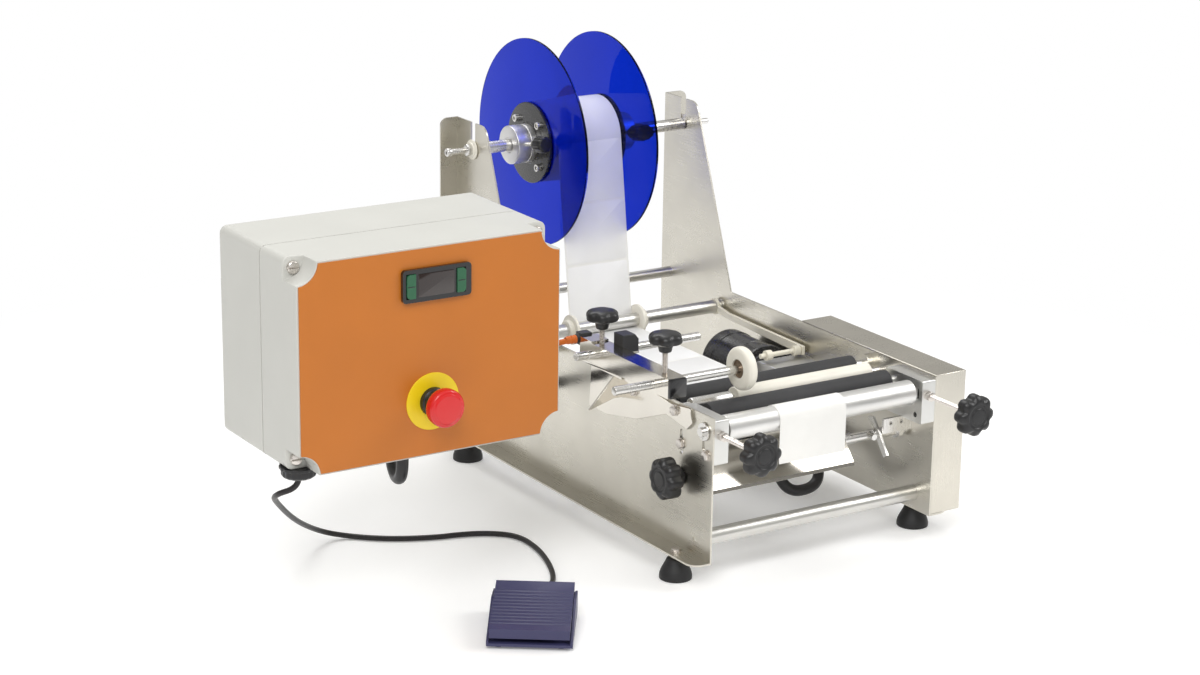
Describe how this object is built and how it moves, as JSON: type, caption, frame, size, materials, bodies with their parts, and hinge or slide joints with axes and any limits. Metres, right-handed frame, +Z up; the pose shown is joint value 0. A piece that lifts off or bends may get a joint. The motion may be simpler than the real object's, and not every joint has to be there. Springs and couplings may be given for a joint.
{
  "type": "bottle labelling machine",
  "caption": "Bench-top roller labelling machine for round bottles with a label reel on towers, a press wheel, a side control box and a foot pedal.",
  "frame": {"origin": "centre of the front left foot's underside, on the table", "axes": "+X to the machine's right, along its longest extent; +Y to the rear, from the rollers towards the reel; +Z up"},
  "size_m": [0.7909, 0.7185, 0.5045],
  "materials": {
    "stainless": "polished sheet",
    "aluminium": "satin",
    "zinc": "satin",
    "cream_steel": "satin",
    "black_metal": "satin",
    "black_plastic": "moulded",
    "black_rubber": "matt",
    "roller_rubber": "matt",
    "nylon": "satin",
    "paper": "satin paper",
    "blue_disc": "clear tinted",
    "box_grey": "satin",
    "orange_panel": "satin",
    "green_key": "satin",
    "red_plastic": "glossy",
    "orange_cable": "satin",
    "pedal_blue": "satin"
  },
  "bodies": {
    "frame": {"left_side_plate": "stainless", "right_side_plate": "stainless", "cross_tubes": "stainless", "web_tube": "stainless", "rubber_feet": "black_rubber", "hex_bolts": "zinc", "drive_cover": "stainless", "roller_blocks": "aluminium", "white_roller_axle": "zinc", "drive_motor": "black_metal", "worm_gearbox": "aluminium", "drive_belt": "black_rubber", "label_web": "paper", "peel_plate": "stainless", "peel_hanger": "zinc", "box_lid": "box_grey", "lid_screws": "box_grey", "box_body": "box_grey", "front_panel": "orange_panel", "controller_bezel": "black_plastic", "estop_collar": "black_plastic", "cable_glands": "black_plastic", "box_bracket": "stainless", "arm_tube": "stainless", "arm_cap": "black_plastic", "arm_bracket": "stainless", "label_sensor": "black_plastic", "motor_conduit": "black_plastic", "pedal_cord": "black_rubber", "sensor_cable": "orange_cable", "pedal_base": "black_plastic"},
    "key_left": {"key_left": "green_key"},
    "key_right": {"key_right": "green_key"},
    "estop_stem": {"estop_stem": "black_plastic"},
    "estop_head": {"estop_button": "red_plastic"},
    "lock_knob": {"height_lock_knob": "black_plastic"},
    "sensor_rod": {"sensor_rod": "zinc"},
    "wheel_rod": {"wheel_rod": "zinc"},
    "wheel": {"press_wheel": "nylon"},
    "rear_clamp": {"rear_clamp_knob": "black_plastic"},
    "front_clamp": {"front_clamp_knob": "black_plastic"},
    "carriage": {"roller_carriage": "zinc"},
    "feed_roller": {"front_roller": "aluminium"},
    "left_adjuster": {"left_adjust_knob": "black_plastic"},
    "right_adjuster": {"right_adjust_knob": "black_plastic"},
    "front_grip_roller": {"rubber_roller_front": "roller_rubber"},
    "rear_grip_roller": {"rubber_roller_rear": "roller_rubber"},
    "shaft": {"drive_shaft": "zinc"},
    "idler": {"white_roller": "nylon"},
    "bushes": {"axle_bushes": "nylon"},
    "reel": {"reel_axle": "zinc", "reel_discs": "blue_disc", "reel_hubs": "black_metal", "label_roll": "paper"},
    "left_collar_screw": {"left_collar_knob": "black_plastic"},
    "right_collar_screw": {"right_collar_knob": "black_plastic"},
    "treadle": {"pedal_treadle": "pedal_blue"},
    "left_ring": {"web_ring_left": "nylon"},
    "right_ring": {"web_ring_right": "nylon"},
    "feeler": {"edge_arm": "cream_steel"}
  },
  "joints": [
    {"name": "axle_lift", "type": "slide", "parent": "frame", "child": "bushes", "axis": [0, 0, 1], "range_m": [0, 0.06]},
    {"name": "reel_spin", "type": "hinge", "parent": "bushes", "child": "reel", "pos_m": [0.161, 0.4595, 0.3805], "axis": [1, 0, 0], "continuous": true},
    {"name": "left_collar_turn", "type": "hinge", "parent": "reel", "child": "left_collar_screw", "pos_m": [0.0735, 0.4595, 0.3805], "axis": [0, -0.9848, 0.1736], "range_deg": [-90, 90]},
    {"name": "right_collar_turn", "type": "hinge", "parent": "reel", "child": "right_collar_screw", "pos_m": [0.2085, 0.4595, 0.3805], "axis": [0, -0.9848, 0.1736], "range_deg": [-90, 90]},
    {"name": "front_roller_feed", "type": "slide", "parent": "frame", "child": "carriage", "axis": [0, 1, 0], "range_m": [-0.002, 0.006], "deforming": ["label_web"]},
    {"name": "front_roller_spin", "type": "hinge", "parent": "carriage", "child": "feed_roller", "pos_m": [0.161, -0.032, 0.1735], "axis": [1, 0, 0], "continuous": true},
    {"name": "left_adjust_turn", "type": "hinge", "parent": "carriage", "child": "left_adjuster", "pos_m": [0.022, -0.048, 0.1715], "axis": [0, 1, 0], "range_deg": [-580, 1735]},
    {"name": "right_adjust_turn", "type": "hinge", "parent": "carriage", "child": "right_adjuster", "pos_m": [0.3, -0.048, 0.1715], "axis": [0, 1, 0], "range_deg": [-580, 1735]},
    {"name": "rubber_front_spin", "type": "hinge", "parent": "frame", "child": "front_grip_roller", "pos_m": [0.161, 0.008, 0.176], "axis": [1, 0, 0], "continuous": true},
    {"name": "rubber_rear_spin", "type": "hinge", "parent": "frame", "child": "rear_grip_roller", "pos_m": [0.161, 0.072, 0.176], "axis": [1, 0, 0], "continuous": true},
    {"name": "drive_shaft_spin", "type": "hinge", "parent": "frame", "child": "shaft", "pos_m": [0.281, 0.178, 0.122], "axis": [1, 0, 0], "continuous": true},
    {"name": "white_roller_spin", "type": "hinge", "parent": "frame", "child": "idler", "pos_m": [0.191, 0.04, 0.1775], "axis": [1, 0, 0], "continuous": true},
    {"name": "sensor_rod_slide", "type": "slide", "parent": "frame", "child": "sensor_rod", "axis": [1, 0, 0], "range_m": [-0.02, 0.02]},
    {"name": "wheel_rod_slide", "type": "slide", "parent": "frame", "child": "wheel_rod", "axis": [1, 0, 0], "range_m": [-0.02, 0.02]},
    {"name": "press_wheel_spin", "type": "hinge", "parent": "wheel_rod", "child": "wheel", "pos_m": [0.087, 0.01, 0.2205], "axis": [1, 0, 0], "continuous": true},
    {"name": "rear_clamp_turn", "type": "hinge", "parent": "frame", "child": "rear_clamp", "pos_m": [-0.013, 0.134, 0.231], "axis": [0, 0, 1], "range_deg": [-90, 90]},
    {"name": "front_clamp_turn", "type": "hinge", "parent": "frame", "child": "front_clamp", "pos_m": [-0.013, 0.01, 0.231], "axis": [0, 0, 1], "range_deg": [-90, 90]},
    {"name": "height_lock_turn", "type": "hinge", "parent": "frame", "child": "lock_knob", "pos_m": [0.001, 0.009, 0.112], "axis": [1, 0, 0], "range_deg": [-90, 90]},
    {"name": "estop_press", "type": "slide", "parent": "frame", "child": "estop_stem", "axis": [0, 1, 0], "range_m": [0, 0.006], "stiffness_N_per_m": 500},
    {"name": "estop_twist", "type": "hinge", "parent": "estop_stem", "child": "estop_head", "pos_m": [-0.2875, 0.001, 0.241], "axis": [0, 1, 0], "range_deg": [0, 30], "stiffness_Nm_per_rad": 0.05},
    {"name": "key_left_rock", "type": "hinge", "parent": "frame", "child": "key_left", "pos_m": [-0.3139, 0.0185, 0.365], "axis": [1, 0, 0], "range_deg": [-2.5, 2.5], "stiffness_Nm_per_rad": 0.05},
    {"name": "key_right_rock", "type": "hinge", "parent": "frame", "child": "key_right", "pos_m": [-0.2568, 0.0185, 0.365], "axis": [1, 0, 0], "range_deg": [-2.5, 2.5], "stiffness_Nm_per_rad": 0.05},
    {"name": "treadle_press", "type": "hinge", "parent": "frame", "child": "treadle", "pos_m": [-0.20082, -0.03632, 0.018], "axis": [0.8221, -0.5693, 0], "range_deg": [0, 4], "stiffness_Nm_per_rad": 3, "springref_deg": -2.86},
    {"name": "left_ring_slide", "type": "slide", "parent": "frame", "child": "left_ring", "axis": [-1, 0, 0], "range_m": [0, 0.04]},
    {"name": "right_ring_slide", "type": "slide", "parent": "frame", "child": "right_ring", "axis": [1, 0, 0], "range_m": [0, 0.06]},
    {"name": "feeler_tilt", "type": "hinge", "parent": "frame", "child": "feeler", "pos_m": [0.301, 0.372, 0.1693], "axis": [-1, 0, 0], "range_deg": [0, 15]}
  ],
  "couplings": [
    {"joint": "left_adjust_turn", "follows": "front_roller_feed", "rad_per_m": 5026.5},
    {"joint": "right_adjust_turn", "follows": "front_roller_feed", "rad_per_m": 5026.5},
    {"joint": "rubber_rear_spin", "follows": "rubber_front_spin", "ratio": 1},
    {"joint": "drive_shaft_spin", "follows": "rubber_front_spin", "ratio": 1}
  ]
}
